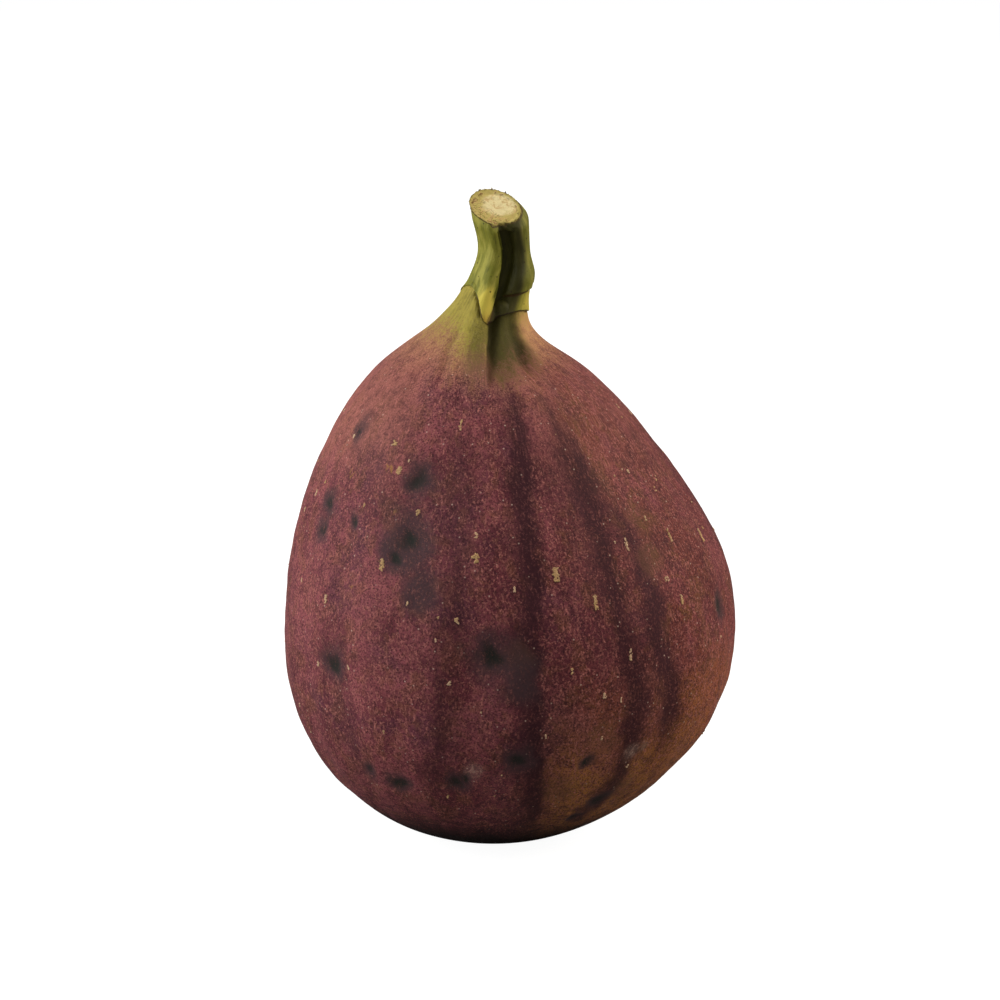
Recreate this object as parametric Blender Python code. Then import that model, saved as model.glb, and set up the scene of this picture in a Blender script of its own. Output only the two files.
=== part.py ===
"""A fresh fig as picked, standing on its eye end.

Three solids: the ribbed fruit with its folded neck and sunken eye, the furrowed green stem
with its cut end and three basal bracts, and the small scales that close the eye.
Metres, +Z up. The origin is on the table, under the middle of the fruit's box.
Angles run anticlockwise seen from above, with 0 at +X and -90 at the front.
"""

import math
import random

import bmesh
import bpy
from mathutils import Matrix, Vector

MM = 0.001
GAP = 0.3 * MM  # between the fruit and what it carries

# The fig's outline from the table up: height, radius, and where its curved core lies in x and y.
OUTLINE = [
    (0.0, 6.0, -1.7, 0.0),
    (1.0, 10.0, -1.7, 0.0),
    (3.4, 14.4, -1.5, 0.0),
    (7.4, 19.0, -1.2, 0.0),
    (12.8, 22.8, -0.6, 0.0),
    (18.6, 24.7, -0.2, 0.0),
    (25.0, 25.0, -0.1, 0.0),
    (31.4, 24.1, -0.4, 0.0),
    (37.6, 21.9, -1.2, 0.0),
    (43.6, 18.7, -2.2, 0.0),
    (49.0, 15.2, -2.9, 0.0),
    (52.6, 11.8, -3.3, 0.0),
    (55.5, 8.0, -3.7, 0.0),
    (57.8, 5.5, -3.2, -0.1),
    (60.4, 4.2, -2.1, -0.2),
    (63.2, 3.6, -0.95, -0.3),
    (66.2, 3.0, -0.6, -0.5),
    (69.4, 3.15, -0.95, -0.9),
    (72.6, 3.2, -1.7, -1.3),
]
BASE_EDGE = 0  # the outline's point at the edge of the flat foot
SHOULDER = 12  # its point under the neck, where the rings stop being level
STEM_START = 15  # its point above the bracts, where they are level again
STEM_END = 16  # its point under the cut end

# The eye: a shallow pit in the middle of the foot, as its radius and height above the table from
# the floor's middle out to the mouth, in mm.
PIT_DEPTH = 2.0 * MM
PIT = [(1.5, 2.0), (2.85, 2.0), (3.1, 1.4), (3.2, 0.4), (3.4, 0.0)]

# Where the bracts at the foot of the stem end on the neck: angle in degrees, height in mm.
# Three tips hang down.
BRACT_EDGE = [
    (-146, 62.4),
    (-118, 61.4),
    (-91, 59.0),
    (-72, 60.2),
    (-45, 60.3),
    (-12, 59.7),
    (6, 59.2),
    (40, 60.8),
    (78, 62.2),
    (110, 61.0),
    (134, 59.4),
    (172, 61.2),
]
BRACT_THICKNESS = 0.22 * MM

# The cut across the stem: a point on it, and how it falls towards the front and the right.
CUT_MIDDLE = Vector((-1.3, -1.0, 70.9)) * MM
CUT_FALL_FRONT = math.tan(math.radians(31))
CUT_FALL_RIGHT = math.tan(math.radians(5))
CUT_DISH = 0.25 * MM
CUT_ROUNDING = 0.35 * MM

# Folds that run down the stem into the fruit's shoulder: angle on the stem and on the shoulder;
# depth in mm on the stem, at the neck and on the shoulder; width in mm on the left and on the
# right, seen from outside.
FOLDS = [
    (-88, -73, 1.20, 0.75, 0.45, 0.60, 1.15),
    (-46, -53, 0.22, 0.65, 0.45, 1.05, 0.75),
    (-6, -18, 0.30, 0.35, 0.25, 0.95, 0.95),
    (58, 44, 0.35, 0.40, 0.30, 0.80, 1.05),
    (112, 104, 0.50, 0.45, 0.30, 0.95, 0.80),
    (168, 160, 0.30, 0.35, 0.30, 0.95, 0.95),
    (-136, -128, 0.20, 0.25, 0.25, 0.95, 0.95),
]
FOLD_SPREAD = 1.8  # how many times wider the folds are where they end on the shoulder
FOLD_HEIGHTS = (46.0, 53.0, 58.5, 63.5, 68.0, 71.0)  # fades in, shoulder, neck, stem, stem, fades out

# Shallow valleys between the fruit's ribs. The front ones are set one by one, and the rest follow
# at an even step with a seeded jitter. They wander a little from side to side on their way down.
FRONT_VALLEYS = [-152, -134, -116, -102, -83, -61, -45, -30, -12]
VALLEY_STEP = 21
VALLEY_JITTER = 4
VALLEY_DEPTH = 0.42 * MM
VALLEY_WIDTH = 1.9 * MM
VALLEY_HEIGHTS = (4.0, 14.0, 44.0, 54.0)  # starts, full, full, ends
VALLEY_WANDER = 3.0  # degrees
OUT_OF_ROUND = (0.012, 0.010)  # how far the belly is from round, as two and as three soft corners

# Soft dents under the bruises: angle, height in mm, depth in mm, radius in mm.
DENTS = [
    (-118, 38.5, 0.35, 4.0),
    (-113, 44.8, 0.25, 2.6),
    (-142, 23.0, 0.30, 2.8),
    (-94, 26.0, 0.70, 3.2),
    (-18, 27.8, 0.35, 2.4),
    (-66, 13.2, 0.25, 1.8),
    (-104, 11.3, 0.40, 2.6),
    (38, 32.0, 0.40, 3.6),
    (96, 20.0, 0.55, 4.2),
    (150, 40.0, 0.30, 3.0),
]

# Scales that close the eye, from the outermost ring in: how many, where their roots stand and how
# long they are in mm, and how steeply they lean down, in degrees.
SCALE_RINGS = [(5, 2.30, 1.60, 13), (5, 1.70, 1.30, 24), (3, 1.10, 0.90, 38)]
SCALE_WIDTH = 0.66  # half a scale's width, as a share of its length
SCALE_THICKNESS = 0.17 * MM
SCALE_JITTER = 0.12  # radians
SCALE_BED_RADIUS = 2.65 * MM
SCALE_BED_LOW = 1.0 * MM  # underside of the bed, above the table

# How finely the bodies are divided, round and up.
FRUIT_SEGMENTS = 84
FRUIT_RINGS = 38
NECK_RINGS = 6
STEM_SEGMENTS = 44
BRACT_RINGS = 7
SHANK_RINGS = 9
CUT_RINGS = 8
HIDDEN_SHARE = 0.55  # the ring that closes the hidden end of a body, as a share of its last one
SEED = 7

FRUIT_COLOUR = (0.13, 0.045, 0.045)
STEM_COLOUR = (0.27, 0.25, 0.06)
SCALE_COLOUR = (0.30, 0.12, 0.08)


def smooth_between(stations, t):
    """The values at t on a smooth curve through stations, which are tuples that start with their place."""
    last = len(stations) - 1
    i = 0
    while i < last - 1 and t > stations[i + 1][0]:
        i += 1
    a, b = stations[i], stations[i + 1]
    before, after = stations[max(i - 1, 0)], stations[min(i + 2, last)]
    span = b[0] - a[0]
    u = (t - a[0]) / span
    values = []
    for k in range(1, len(a)):
        rise_a = (b[k] - before[k]) / (b[0] - before[0]) * span
        rise_b = (after[k] - a[k]) / (after[0] - a[0]) * span
        values.append(
            a[k] * (2 * u**3 - 3 * u**2 + 1)
            + rise_a * (u**3 - 2 * u**2 + u)
            + b[k] * (3 * u**2 - 2 * u**3)
            + rise_b * (u**3 - u**2)
        )
    return values


def ease(low, high, value):
    """0 below low, 1 above high, and a smooth step between."""
    u = min(max((value - low) / (high - low), 0.0), 1.0)
    return u * u * (3 - 2 * u)


def turn_between(a, b):
    """The angle from a to b, in degrees, the short way round."""
    return (b - a + 180) % 360 - 180


# The outline as curves over its own points, so that rings can be spaced along it, and over height.
OUTLINE_BY_POINT = [(i, *station) for i, station in enumerate(OUTLINE)]


def bract_edge(angle):
    """Height at which the bracts end, all the way round the neck."""
    first = BRACT_EDGE[0][0]
    wrapped = [(a - 360, h) for a, h in BRACT_EDGE[-2:]] + BRACT_EDGE
    wrapped += [(a + 360, h) for a, h in BRACT_EDGE[:2]]
    return smooth_between(wrapped, (angle - first) % 360 + first)[0] * MM


def cut_height(angle):
    """Height of the cut's edge at this angle: where the stem's side meets the cut's plane."""
    height = CUT_MIDDLE.z
    for _ in range(6):
        off = skin(angle, None, height) - CUT_MIDDLE
        height = CUT_MIDDLE.z + CUT_FALL_FRONT * off.y - CUT_FALL_RIGHT * off.x
    return height


def valley_angles():
    """Every valley between ribs: the front ones, and the rest at an even step."""
    chance = random.Random(SEED)
    angles = list(FRONT_VALLEYS)
    at = FRONT_VALLEYS[-1] + VALLEY_STEP
    while at < FRONT_VALLEYS[0] + 360 - VALLEY_STEP / 2:
        angles.append(at + chance.uniform(-VALLEY_JITTER, VALLEY_JITTER))
        at += VALLEY_STEP
    return angles


VALLEYS = valley_angles()


def fold_relief(angle, height, radius):
    """How far the folds of the stem and neck sink the surface."""
    start, shoulder, neck, stem, stem_top, end = FOLD_HEIGHTS
    h = height / MM
    if not start < h < end:
        return 0.0
    on_shoulder = ease(start, shoulder, h) - ease(shoulder, neck, h)
    at_neck = ease(shoulder, neck, h) - ease(neck, stem, h)
    on_stem = ease(neck, stem, h) - ease(stem_top, end, h)
    spread = 1 + (FOLD_SPREAD - 1) * (1 - ease(start, neck, h))
    sunk = 0.0
    for stem_angle, low_angle, stem_depth, neck_depth, shoulder_depth, left, right in FOLDS:
        at = low_angle + (stem_angle - low_angle) * ease(shoulder, stem, h)
        depth = stem_depth * on_stem + neck_depth * at_neck + shoulder_depth * on_shoulder
        away = math.radians(turn_between(at, angle)) * radius
        width = (left if away < 0 else right) * spread * MM
        sunk += depth * MM * math.exp(-((away / width) ** 2))
    return sunk


def rib_relief(angle, height, radius):
    """How far the valleys between the ribs sink the surface."""
    low, full, fading, high = VALLEY_HEIGHTS
    h = height / MM
    strength = ease(low, full, h) * (1 - ease(fading, high, h))
    sunk = 0.0
    for k, valley in enumerate(VALLEYS):
        wander = VALLEY_WANDER * math.sin(0.11 * h + 1.7 * k)
        away = math.radians(turn_between(valley + wander, angle)) * radius
        depth = VALLEY_DEPTH * (0.75 + 0.35 * math.sin(2.3 * k))
        sunk += depth * math.exp(-((away / VALLEY_WIDTH) ** 2))
    return sunk * strength


def dent_relief(angle, height, radius):
    """How far the bruises sink the surface."""
    sunk = 0.0
    for at, up, depth, size in DENTS:
        across = math.radians(turn_between(at, angle)) * radius
        away = math.hypot(across, height - up * MM)
        sunk += depth * MM * math.exp(-((away / (size * MM)) ** 2))
    return sunk


def skin(angle, point, height=None, proud=0.0):
    """A point on the fig's outside, at this angle and place along the outline, or at this height."""
    if height is None:
        height, radius, x, y = smooth_between(OUTLINE_BY_POINT, point)
        height *= MM
    else:
        radius, x, y = smooth_between(OUTLINE, height / MM)
    radius, x, y = radius * MM, x * MM, y * MM
    turn = math.radians(angle)
    body = 1 - ease(48, 56, height / MM)
    two, three = OUT_OF_ROUND
    corners = two * math.cos(2 * turn - 0.6) + three * math.cos(3 * turn + 0.4)
    foot = ease(0.2, 3.0, height / MM)
    reach = radius * (1 + corners * body * foot) + proud
    reach -= fold_relief(angle, height, radius)
    reach -= rib_relief(angle, height, radius)
    reach -= dent_relief(angle, height, radius)
    return Vector((x + reach * math.cos(turn), y + reach * math.sin(turn), height))


def shrunk(ring, share, lift=0.0):
    """A ring drawn in towards its own middle."""
    middle = sum(ring, Vector()) / len(ring)
    return [middle.lerp(p, share) + Vector((0, 0, lift)) for p in ring]


def wrapped_ball(name, rings, colour, roughness):
    """One closed body: a ball whose circles of latitude, from its south pole up, are laid on rings."""
    segments = len(rings[0])
    bm = bmesh.new()
    bmesh.ops.create_uvsphere(bm, u_segments=segments, v_segments=len(rings) + 1, radius=1.0)
    for v in bm.verts:
        polar = math.acos(max(-1.0, min(1.0, -v.co.z)))
        ring = round(polar * (len(rings) + 1) / math.pi) - 1
        if 0 <= ring < len(rings):
            around = round(math.degrees(math.atan2(v.co.y, v.co.x)) * segments / 360) % segments
            v.co = rings[ring][around]
        else:
            end = rings[0] if ring < 0 else rings[-1]
            v.co = sum(end, Vector()) / segments
    bmesh.ops.recalc_face_normals(bm, faces=bm.faces)
    return finished(name, bm, colour, roughness)


def finished(name, bm, colour, roughness):
    """The object of this mesh, smooth, with its own material."""
    mesh = bpy.data.meshes.new(name)
    bm.to_mesh(mesh)
    bm.free()
    mesh.shade_smooth()
    mesh.materials.append(plain_material(name, colour, roughness))
    obj = bpy.data.objects.new(name, mesh)
    bpy.context.scene.collection.objects.link(obj)
    return obj


def plain_material(name, colour, roughness):
    """A Principled material of one colour."""
    material = bpy.data.materials.new(name)
    material.use_nodes = True
    shader = material.node_tree.nodes["Principled BSDF"]
    shader.inputs["Base Color"].default_value = (*colour, 1)
    shader.inputs["Roughness"].default_value = roughness
    shader.inputs["Metallic"].default_value = 0
    return material


def angles(segments):
    """Even angles round a ring, in degrees."""
    return [360 * i / segments for i in range(segments)]


def fruit():
    """The fruit: foot with the eye's pit, belly, shoulder, and neck up to the bracts."""
    round_it = angles(FRUIT_SEGMENTS)
    foot = [skin(a, BASE_EDGE) for a in round_it]
    foot_radius = OUTLINE[BASE_EDGE][1]
    rings = [shrunk(foot, radius / foot_radius, height * MM) for radius, height in PIT]
    rings.append(foot)
    for i in range(1, FRUIT_RINGS + 1):
        point = SHOULDER * i / FRUIT_RINGS
        rings.append([skin(a, point) for a in round_it])
    start = OUTLINE[SHOULDER][0] * MM
    for i in range(1, NECK_RINGS + 1):
        share = i / NECK_RINGS
        rings.append([skin(a, None, start + (bract_edge(a) - start) * share) for a in round_it])
    rings.append(shrunk(rings[-1], HIDDEN_SHARE))
    return wrapped_ball("fruit", rings, FRUIT_COLOUR, 0.6)


def stem():
    """The stem: from the bracts' edge on the neck, up its furrowed shank, to the cut."""
    round_it = angles(STEM_SEGMENTS)
    top_of_bracts = OUTLINE[STEM_START][0] * MM
    rings = []
    for i in range(BRACT_RINGS):
        share = i / BRACT_RINGS
        thick = BRACT_THICKNESS * (1 - share) ** 2
        ring = []
        for a in round_it:
            edge = bract_edge(a) + GAP
            ring.append(skin(a, None, edge + (top_of_bracts - edge) * share, thick))
        rings.append(ring)
    rings.insert(0, shrunk(rings[0], HIDDEN_SHARE))
    for i in range(SHANK_RINGS + 1):
        point = STEM_START + (STEM_END - STEM_START) * i / SHANK_RINGS
        rings.append([skin(a, point) for a in round_it])
    under_cut = OUTLINE[STEM_END][0] * MM
    for i in range(1, CUT_RINGS + 1):
        share = i / CUT_RINGS
        rounding = -CUT_ROUNDING * ease(0.75, 1.0, share)
        rings.append(
            [skin(a, None, under_cut + (cut_height(a) - under_cut) * share, rounding) for a in round_it]
        )
    rim = rings[-1]
    rings.append(shrunk(rim, 0.86, -CUT_DISH * 0.4))
    rings.append(shrunk(rim, 0.45, -CUT_DISH))
    return wrapped_ball("stem", rings, STEM_COLOUR, 0.55)


def scale_shape(length):
    """One pointed scale that lies along +X with its root at the origin."""
    bm = bmesh.new()
    bmesh.ops.create_uvsphere(bm, u_segments=8, v_segments=6, radius=1.0)
    for v in bm.verts:
        reach = (v.co.x + 1) / 2
        across = v.co.y * SCALE_WIDTH * length * (1 - 0.7 * reach**2)
        v.co = Vector((reach * length, across, v.co.z * SCALE_THICKNESS * (2 - reach)))
    return bm


def scale_bed(middle):
    """The round bed that the scales grow from, a gap under the floor of the pit."""
    top = PIT_DEPTH - GAP
    bm = bmesh.new()
    bmesh.ops.create_cone(
        bm,
        cap_ends=True,
        segments=28,
        radius1=SCALE_BED_RADIUS * 0.9,
        radius2=SCALE_BED_RADIUS,
        depth=top - SCALE_BED_LOW,
        matrix=Matrix.Translation(middle + Vector((0, 0, (top + SCALE_BED_LOW) / 2))),
    )
    return finished("eye_scales", bm, SCALE_COLOUR, 0.7)


def eye_scales():
    """The eye's scales: rings of pointed scales that lean in over each other, grown from one bed."""
    middle = Vector((OUTLINE[BASE_EDGE][2], OUTLINE[BASE_EDGE][3], 0)) * MM
    chance = random.Random(SEED)
    scales = bpy.data.collections.new("scales")
    bpy.context.scene.collection.children.link(scales)
    for ring, (count, root, length, lean) in enumerate(SCALE_RINGS):
        for i in range(count):
            turn = math.tau * (i + 0.5 * ring) / count + chance.uniform(-SCALE_JITTER, SCALE_JITTER)
            bm = scale_shape(length * MM)
            bm.transform(
                Matrix.Translation(middle)
                @ Matrix.Rotation(turn, 4, "Z")
                @ Matrix.Translation((root * MM, 0, SCALE_BED_LOW))
                @ Matrix.Rotation(math.pi, 4, "Z")
                @ Matrix.Rotation(math.radians(lean), 4, "Y")
            )
            scale = finished(f"scale_{ring}_{i}", bm, SCALE_COLOUR, 0.7)
            bpy.context.scene.collection.objects.unlink(scale)
            scales.objects.link(scale)
    bed = scale_bed(middle)
    union = bed.modifiers.new("scales", "BOOLEAN")
    union.operation = "UNION"
    union.operand_type = "COLLECTION"
    union.collection = scales
    union.solver = "EXACT"
    graph = bpy.context.evaluated_depsgraph_get()
    bed.data = bpy.data.meshes.new_from_object(bed.evaluated_get(graph))
    bed.modifiers.clear()
    for scale in list(scales.objects):
        bpy.data.objects.remove(scale)
    bpy.data.collections.remove(scales)
    return bed


def main():
    for obj in list(bpy.data.objects):
        bpy.data.objects.remove(obj)
    fruit()
    stem()
    eye_scales()


main()
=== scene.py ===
# %% [markdown]
# # Dressing a fresh fig
#
# A plain solid model already gives this fig its size and its main shapes. This lesson builds the
# look around it: a fine skin with ribs, dents and bruises, a furrowed green stem with a cut end,
# the pale grains that dot the skin, and the scales that close the eye. The solids are a frame:
# they are read and measured here, and never moved.

# %% Load the frame
import math
import random
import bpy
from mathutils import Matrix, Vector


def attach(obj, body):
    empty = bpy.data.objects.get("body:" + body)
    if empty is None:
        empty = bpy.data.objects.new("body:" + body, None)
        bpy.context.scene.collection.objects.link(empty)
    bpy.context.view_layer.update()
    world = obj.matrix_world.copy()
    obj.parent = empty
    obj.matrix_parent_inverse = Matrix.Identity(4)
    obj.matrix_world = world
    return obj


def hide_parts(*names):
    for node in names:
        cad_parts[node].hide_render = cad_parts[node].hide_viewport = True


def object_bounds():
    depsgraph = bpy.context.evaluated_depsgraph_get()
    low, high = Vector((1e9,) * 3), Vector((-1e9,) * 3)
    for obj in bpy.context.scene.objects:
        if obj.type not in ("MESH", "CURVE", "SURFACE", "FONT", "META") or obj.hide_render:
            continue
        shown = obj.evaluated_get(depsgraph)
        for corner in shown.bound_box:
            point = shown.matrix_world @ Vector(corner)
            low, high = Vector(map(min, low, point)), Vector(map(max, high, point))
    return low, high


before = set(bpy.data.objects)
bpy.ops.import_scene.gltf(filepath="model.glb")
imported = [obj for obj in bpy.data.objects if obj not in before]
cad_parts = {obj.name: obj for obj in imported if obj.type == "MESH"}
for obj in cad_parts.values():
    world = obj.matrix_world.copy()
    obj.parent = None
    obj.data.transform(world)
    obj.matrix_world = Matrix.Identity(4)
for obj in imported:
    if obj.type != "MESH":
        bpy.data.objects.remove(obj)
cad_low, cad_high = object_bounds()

from types import SimpleNamespace

import bpy
import numpy as np
from mathutils import Matrix, Vector, noise

MM = 0.001
SEED = 11
NOISE_SEED = 391
noise.seed_set(NOISE_SEED)
BODY = "root"
print("the frame holds", sorted(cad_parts), "in a box of",
      [round(side / MM, 1) for side in cad_high - cad_low], "mm")

# %% [markdown]
# ## Camera
#
# The fig is seen from a little above its middle, with a long lens, so that its sides stay nearly
# parallel. A camera could be placed by hand. Worked out from the frame's box, it keeps its aim if
# the model ever changes.

# %% Make the camera
LENS = 100
CAMERA_DISTANCE = 308.64 * MM
NEAREST_SEEN = 10 * MM
CAMERA_ELEVATION = math.radians(15)
AIM_OFFSET = Vector((-1.16, -0.06, 1.55)) * MM

aim = (cad_low + cad_high) / 2 + AIM_OFFSET
to_camera = Vector((0, -math.cos(CAMERA_ELEVATION), math.sin(CAMERA_ELEVATION)))
bpy.ops.object.camera_add(
    location=aim + to_camera * CAMERA_DISTANCE,
    rotation=(math.pi / 2 - CAMERA_ELEVATION, 0, 0),
)
camera = bpy.context.active_object
camera.data.lens = LENS
camera.data.clip_start = NEAREST_SEEN
bpy.context.scene.camera = camera
print("camera", [round(place / MM) for place in camera.location], "mm")

# %% [markdown]
# ## Light and floor
#
# Two large soft boxes stand left and right of the fig, and the front is only filled in. The sides
# then come out bright and the middle dark, which shows the ribs. The left box is the stronger one,
# and the right one is warmer. A sun lamp would give hard shadows that a matt fruit doesn't need.
# The floor has to look white, yet a white floor would throw so much light up that the fruit's
# underside lost its shade. So the paint itself is grey, and its glow is seen by the camera alone,
# as when a backdrop is lit by lamps of its own.

# %% Make the soft boxes
LIGHTS = [
    # name, direction round the fig from the camera, height angle, distance, size, watts, colour
    ("left_box", -84, 26, 0.60, 0.50, 3.7, (1.0, 0.985, 0.96)),
    ("right_box", 94, 36, 0.60, 0.45, 3.3, (1.0, 0.90, 0.80)),
    ("front_fill", -12, 40, 0.80, 0.60, 0.42, (1.0, 1.0, 1.0)),
    ("back_fill", 180, 40, 0.80, 0.60, 1.0, (1.0, 0.99, 0.97)),
]


def soft_box(name, way, rise, distance, size, watts, colour):
    """A square area light that looks at the fig's middle."""
    way, rise = math.radians(way), math.radians(rise)
    out = Vector((math.sin(way) * math.cos(rise), -math.cos(way) * math.cos(rise), math.sin(rise)))
    bpy.ops.object.light_add(type="AREA", location=aim + out * distance)
    box = bpy.context.active_object
    box.name = name
    box.rotation_euler = (-out).to_track_quat("-Z", "Y").to_euler()
    box.data.size = size
    box.data.energy = watts
    box.data.color = colour
    return box


boxes = [soft_box(*settings) for settings in LIGHTS]
print("lights:", ", ".join(box.name for box in boxes))

# %% Light the room and lay the floor
WHITE = (1, 1, 1, 1)
WORLD_GREY = 0.13
FLOOR_SIZE = 8
FLOOR_GREY = 0.26
FLOOR_ROUGHNESS = 0.9
FLOOR_SHINE = 0.1
FLOOR_GLOW = 0.95

world = bpy.data.worlds.new("studio")
world.use_nodes = True
world.node_tree.nodes["Background"].inputs["Color"].default_value = WHITE
world.node_tree.nodes["Background"].inputs["Strength"].default_value = WORLD_GREY
bpy.context.scene.world = world
bpy.context.scene.view_settings.view_transform = "Standard"

bpy.ops.mesh.primitive_plane_add(size=FLOOR_SIZE, location=(0, 0, cad_low.z))
floor = bpy.context.active_object
floor.name = "floor"
floor_paint = bpy.data.materials.new("floor_paint")
floor_paint.use_nodes = True
floor_nodes = floor_paint.node_tree.nodes
paint = floor_nodes["Principled BSDF"].inputs
paint["Base Color"].default_value = (FLOOR_GREY, FLOOR_GREY, FLOOR_GREY, 1)
paint["Roughness"].default_value = FLOOR_ROUGHNESS
paint["Specular IOR Level"].default_value = FLOOR_SHINE
paint["Emission Color"].default_value = WHITE
seen_by = floor_nodes.new("ShaderNodeLightPath")
glow = floor_nodes.new("ShaderNodeMath")
glow.operation = "MULTIPLY"
glow.inputs[1].default_value = FLOOR_GLOW
floor_paint.node_tree.links.new(seen_by.outputs["Is Camera Ray"], glow.inputs[0])
floor_paint.node_tree.links.new(glow.outputs[0], paint["Emission Strength"])
floor.data.materials.append(floor_paint)
print("a floor of", FLOOR_SIZE, "m under a room of grey", WORLD_GREY)

# %% [markdown]
# ## Small tools
#
# Operators act on whatever is selected, so each step first selects one object alone. Points are
# read and written as arrays of millimetres, because a fig is easier to think about in those.

# %% Tools to select and shape a mesh
SELECT_MODES = {"vertices": "VERT", "edges": "EDGE", "polygons": "FACE"}
MERGE_WITHIN = 0.01 * MM
SMALLEST_WEIGHT = 0.004


def only(obj):
    """Selects this object alone and makes it active."""
    bpy.ops.object.select_all(action="DESELECT")
    obj.select_set(True)
    bpy.context.view_layer.objects.active = obj


def points(obj):
    """The mesh's points in mm, one row each."""
    flat = np.empty(len(obj.data.vertices) * 3)
    obj.data.vertices.foreach_get("co", flat)
    return flat.reshape(-1, 3) / MM


def on_faces(obj, chosen):
    """For each point, whether it is on one of the chosen faces."""
    corners = [i for face, taken in zip(obj.data.polygons, chosen) if taken for i in face.vertices]
    return np.isin(np.arange(len(obj.data.vertices)), corners)


def edit(obj, *steps, part="vertices", chosen=None):
    """Runs edit-mode operators on all of a mesh, or on its chosen points, edges or polygons."""
    only(obj)
    bpy.ops.object.mode_set(mode="EDIT")
    bpy.ops.mesh.select_mode(type=SELECT_MODES[part])
    bpy.ops.mesh.select_all(action="SELECT" if chosen is None else "DESELECT")
    if chosen is not None:
        bpy.ops.object.mode_set(mode="OBJECT")
        getattr(obj.data, part).foreach_set("select", np.asarray(chosen, dtype=bool))
        bpy.ops.object.mode_set(mode="EDIT")
    for operator, settings in steps:
        operator(**settings)
    bpy.ops.object.mode_set(mode="OBJECT")


def apply(obj, kind, weights=None, **settings):
    """Adds a modifier with these settings, held back by each point's weight, and applies it."""
    only(obj)
    if weights is not None:
        group = obj.vertex_groups.new(name="weights")
        for i in np.nonzero(np.abs(weights) > SMALLEST_WEIGHT)[0]:
            group.add([int(i)], float(weights[i]), "REPLACE")
        settings["vertex_group"] = group.name
    modifier = obj.modifiers.new(kind.lower(), kind)
    for setting, value in settings.items():
        setattr(modifier, setting, value)
    bpy.ops.object.modifier_apply(modifier=modifier.name)
    obj.vertex_groups.clear()


def subdivide(obj, levels):
    """Rounds the mesh off with this many levels of subdivision."""
    apply(obj, "SUBSURF", levels=levels, render_levels=levels)


def clouds(name, size):
    """A soft cloud texture whose lumps are about this many mm across."""
    texture = bpy.data.textures.new(name, "CLOUDS")
    texture.noise_scale = size * MM
    texture.noise_depth = 2
    return texture


def press(obj, weights, depth, lumps=None, middle=0.0, direction="NORMAL"):
    """Sinks the surface by depth mm times each point's weight, evenly or as clouds say."""
    settings = {"strength": -depth * MM, "mid_level": middle, "direction": direction}
    if lumps:
        settings["texture"] = clouds("lumps", lumps)
    apply(obj, "DISPLACE", weights, **settings)


print("shaping tools are ready")

# %% Tools to copy, join and note
def copy_of(obj, name, placing=Matrix.Identity(4)):
    """A copy with its own mesh, placed by a matrix."""
    copy = bpy.data.objects.new(name, obj.data.copy())
    bpy.context.scene.collection.objects.link(copy)
    copy.matrix_world = placing
    return copy


def quad_copy(node, name):
    """A copy of a CAD node's mesh as one connected skin of quads."""
    copy = copy_of(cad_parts[node], name)
    copy.data.materials.clear()
    edit(
        copy,
        (bpy.ops.mesh.remove_doubles, {"threshold": MERGE_WITHIN}),
        (bpy.ops.mesh.customdata_custom_splitnormals_clear, {}),
        (bpy.ops.mesh.tris_convert_to_quads, {"face_threshold": math.pi, "shape_threshold": math.pi}),
    )
    return copy


def joined(parts, name):
    """Joins separate pieces into one object that sits at the origin."""
    only(parts[0])
    for piece in parts:
        piece.select_set(True)
    bpy.ops.object.join()
    whole = bpy.context.active_object
    whole.name = name
    bpy.ops.object.transform_apply(location=True, rotation=True, scale=True)
    return whole


def note(obj, **named):
    """Writes numbers, or vectors, on the mesh's points under these names, for a material to read."""
    for name, values in named.items():
        kind, field = ("FLOAT_VECTOR", "vector") if values.ndim == 2 else ("FLOAT", "value")
        attribute = obj.data.attributes.new(name, kind, "POINT")
        attribute.data.foreach_set(field, values.astype(np.float32).ravel())


def read_back(obj, name):
    """The numbers noted under this name, one for each point."""
    values = np.empty(len(obj.data.vertices), dtype=np.float32)
    obj.data.attributes[name].data.foreach_get("value", values)
    return values.astype(float)


def ease(low, high, value):
    """0 below low, 1 above high, and a smooth step between, for arrays too."""
    share = np.clip((value - low) / (high - low), 0, 1)
    return share * share * (3 - 2 * share)


def bump_at(offset, width):
    """1 where the offset is 0, falling to 0 over this width on both sides."""
    return np.exp(-((offset / width) ** 2))


print("copying tools are ready")

# %% [markdown]
# ## The fig's own directions
#
# Everything on a fig runs from its eye up to its stem: ribs, stripes, even the pale grains. So
# places on it are given as an angle round its core and a height. The core leans a little, as the
# neck does. It is measured here by slicing the solids at each millimetre and taking each slice's
# middle. Angles run anticlockwise from above, with 0 on the right and -90 in front.

# %% Measure the core
SLICE_STEP = 1.0
SLICE_HALF = 1.6
solid_points = np.concatenate([points(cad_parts[name]) for name in ("fruit", "stem")])
levels = np.arange(0.5, cad_high.z / MM, SLICE_STEP)
slices = [solid_points[np.abs(solid_points[:, 2] - level) < SLICE_HALF] for level in levels]
core_x = np.array([(s[:, 0].min() + s[:, 0].max()) / 2 for s in slices])
core_y = np.array([(s[:, 1].min() + s[:, 1].max()) / 2 for s in slices])
core_radius = np.array([(s[:, 0].max() - s[:, 0].min()) / 2 for s in slices])
along = np.concatenate([[0], np.cumsum(np.hypot(np.diff(core_radius), np.diff(levels)))])
print("core leans from x", round(core_x[0], 1), "to", round(core_x.min(), 1), "mm")

# %% Say where points lie round the core
FLOW_RADIUS = 20.0


def round_core(spots):
    """Angle round the core in degrees, height in mm and distance from the core in mm."""
    height = spots[:, 2]
    x = spots[:, 0] - np.interp(height, levels, core_x)
    y = spots[:, 1] - np.interp(height, levels, core_y)
    return np.degrees(np.arctan2(y, x)), height, np.hypot(x, y)


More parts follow.
